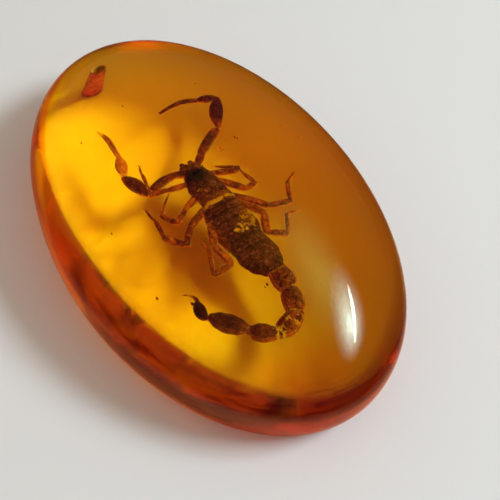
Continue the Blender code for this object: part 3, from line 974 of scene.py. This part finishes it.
# === Shading card ===
# A card held close over the block's far end keeps the window's light off it. Only rays that pass through
# the resin meet the card, and its lower face glows from olive to brown towards its outer edge, as painted
# light.
CARD_HEIGHT = 13.2
CARD_CORNERS = ((-30.8, -6.8), (1.3, 17.7), (-11.8, 34.7), (-43.9, 10.2))
CARD_OUTWARDS = (-0.5, 0.86, 0.0)
CARD_OLIVE = (0.8, 1.00, 0.02)
CARD_TAN = (0.42, 0.25, 0.03)
CARD_BROWN = (0.27, 0.15, 0.01)
CARD_DARK = (0.14, 0.05, 0.02)


def hide_from(item, *rays):
    """Hides an object from some kinds of ray."""
    for ray in rays:
        setattr(item, "visible_" + ray, False)


def light_board(name):
    """The material of a board that only gives light."""
    return new_material(name, (0.0, 0.0, 0.0), 1.0, Specular_IOR_Level=0.0, Emission_Strength=1.0)


glowing_card, tree, shader = light_board("glowing_card")
place = object_place(tree)
run = add_node(tree, "SeparateXYZ", {0: place}).outputs["X"]
inner_half = mix_colors(ramp(run, -0.018, -0.006), CARD_OLIVE, CARD_TAN)
outer_half = mix_colors(ramp(run, -0.024, -0.031), CARD_BROWN, CARD_DARK)
outwards = ramp(measure("DOT_PRODUCT", place, CARD_OUTWARDS), 0.0157, 0.0176)
feed(shader, "Emission Color", mix_colors(outwards, inner_half, outer_half))
bm = bmesh.new()
bm.faces.new([bm.verts.new((x, y, CARD_HEIGHT)) for x, y in CARD_CORNERS])
card = add_mesh("card", bm, glowing_card)
hide_from(card, "camera", "diffuse", "glossy", "volume_scatter", "shadow")

# === Light and camera ===
# Soft light from a long narrow window to one side, and a dim room all round. One lamp lights the table and
# casts the shadow, and the other only shines through the resin.
LIGHT_SIDE = Vector((0.2, 0.72, 0.655)).normalized()
THROUGH_SIDE = Vector((0.25, 0.7, 0.655)).normalized()
SHADOW_SIDE = Vector((0.38, 0.65, 0.655)).normalized()
LIGHT_DISTANCE = 600.0
WINDOW_RUN = Vector((0.96, -0.2, -0.1))     # the way that the window's long side runs


def facing_block(side, distance):
    """Where a flat thing stands that faces the block from one side."""
    run = (WINDOW_RUN - side * WINDOW_RUN.dot(side)).normalized()
    turn = Matrix((run, side.cross(run), side)).transposed().to_4x4()
    return Matrix.Translation(side * distance * MM) @ turn


def add_window(name, side, nearer, width, height, energy, color, seen_by):
    """A lamp that only one kind of ray sees. Lamps in one plane hide each other, so one stands nearer."""
    lamp = bpy.data.lights.new(name, "AREA")
    lamp.shape = "RECTANGLE"
    lamp.size = width * MM
    lamp.size_y = height * MM
    lamp.energy = energy
    lamp.color = color
    item = bpy.data.objects.new(name, lamp)
    scene.collection.objects.link(item)
    item.matrix_world = facing_block(side, LIGHT_DISTANCE - nearer)
    hide_from(item, *{"camera", "diffuse", "glossy", "transmission", "volume_scatter"} - {seen_by})


add_window("window", SHADOW_SIDE, 0.0, 260.0, 160.0, 2.85, (0.81, 0.94, 1.04), "diffuse")
add_window("window_through", THROUGH_SIDE, 10.0, 340.0, 210.0, 7.2, (0.585, 1.0, 0.34), "transmission")

# The window's own reflection: a bright broken streak where the gap in the curtains is, and a soft glow
# round it. Only the polished dome mirrors this board.
GLOW_REACH = 450.0
GLOW_NEARER = 20.0
GLOW_ROOM = (0.02, 0.02, 0.05)
# Middle of each glow on the board, its half length and half width in mm, strength, softness and colour
GLOWS = (((30.0, -6.0), (130.0, 12.0), 32.0, 0.35, (1.0, 0.98, 0.92)),
         ((60.0, -38.0), (260.0, 140.0), 24.0, 2.2, (0.62, 0.95, 0.82)),
         ((-130.0, -150.0), (320.0, 190.0), 2.6, 1.5, (0.38, 1.0, 0.2)))
glow_board, tree, shader = light_board("window_glow")
place = object_place(tree)
rag = clouds(place, 60.0, 4.0)
total = GLOW_ROOM
for middle, reach, strength, softness, tint in GLOWS:
    fall = calculate("POWER", round_patch(place, middle, reach), softness)
    full = [channel * strength * 2 for channel in tint]
    total = add_node(tree, "VectorMath", {0: overlap(fall, rag), 1: full, 2: total},
                     operation="MULTIPLY_ADD").outputs[0]
feed(shader, "Emission Color", total)
bm = bmesh.new()
bmesh.ops.create_grid(bm, x_segments=1, y_segments=1, size=GLOW_REACH)
glow = add_mesh("window_glow", bm, glow_board)
glow.matrix_world = facing_block(LIGHT_SIDE, LIGHT_DISTANCE - GLOW_NEARER)
hide_from(glow, "camera", "diffuse", "transmission", "volume_scatter", "shadow")

# The room is plain where it is seen, as dark as the glow's board where the dome mirrors it, and through the
# resin a low grey-brown band under a golden ceiling, with a dark corner
ROOM_WALLS = (0.46, 0.405, 0.34)
ROOM_BAND = (0.34, 0.27, 0.2)
CEILING_NEAR = (0.5, 0.4, 0.03)
CEILING_FAR = (1.02, 0.64, 0.04)
CORNER_BROWN = (0.1, 0.035, 0.02)
DARK_CORNER = Vector((-0.8, -0.33, 0.5)).normalized()
room = bpy.data.worlds.new("room")
scene.world = room
room.use_nodes = True
tree = room.node_tree
heading = add_node(tree, "TexCoord").outputs["Generated"]
upward = add_node(tree, "SeparateXYZ", {0: heading}).outputs
seen = mix_colors(mirror_rays(tree), ROOM_WALLS, GLOW_ROOM)
ceiling = mix_colors(ramp(upward["X"], -0.5, 0.8), CEILING_NEAR, CEILING_FAR)
walls = mix_colors(ramp(upward["Z"], 0.1, 0.5), ROOM_BAND, ceiling)
in_corner = ramp(measure("DOT_PRODUCT", heading, DARK_CORNER), 0.45, 0.9)
walls = mix_colors(in_corner, walls, CORNER_BROWN)
through = add_node(tree, "LightPath").outputs["Is Transmission Ray"]
background = tree.nodes["Background"]
background.inputs["Strength"].default_value = 1.0
feed(background, "Color", mix_colors(through, seen, walls))

# The photo was taken from the front right, with the camera tilted a little to one side
CAMERA_PLACE = Vector((63.6, -32.9, 77.6))
CAMERA_AIM = Vector((7.97, 1.38, 5.0))
CAMERA_ROLL = math.radians(5.5)
lens = bpy.data.cameras.new("camera")
lens.lens = 64.8
lens.sensor_width = 36.0
lens.clip_start = 0.005
camera = bpy.data.objects.new("camera", lens)
scene.collection.objects.link(camera)
back = CAMERA_PLACE - CAMERA_AIM
turn = back.to_track_quat("Z", "Y").to_matrix().to_4x4() @ Matrix.Rotation(CAMERA_ROLL, 4, "Z")
camera.matrix_world = Matrix.Translation(CAMERA_PLACE * MM) @ turn
scene.camera = camera

scene.view_settings.view_transform = "Standard"
scene.cycles.max_bounces = 24
scene.cycles.transmission_bounces = 24
scene.cycles.glossy_bounces = 16
scene.cycles.diffuse_bounces = 6
scene.cycles.blur_glossy = 0.1
scene.cycles.sample_clamp_indirect = 0.0
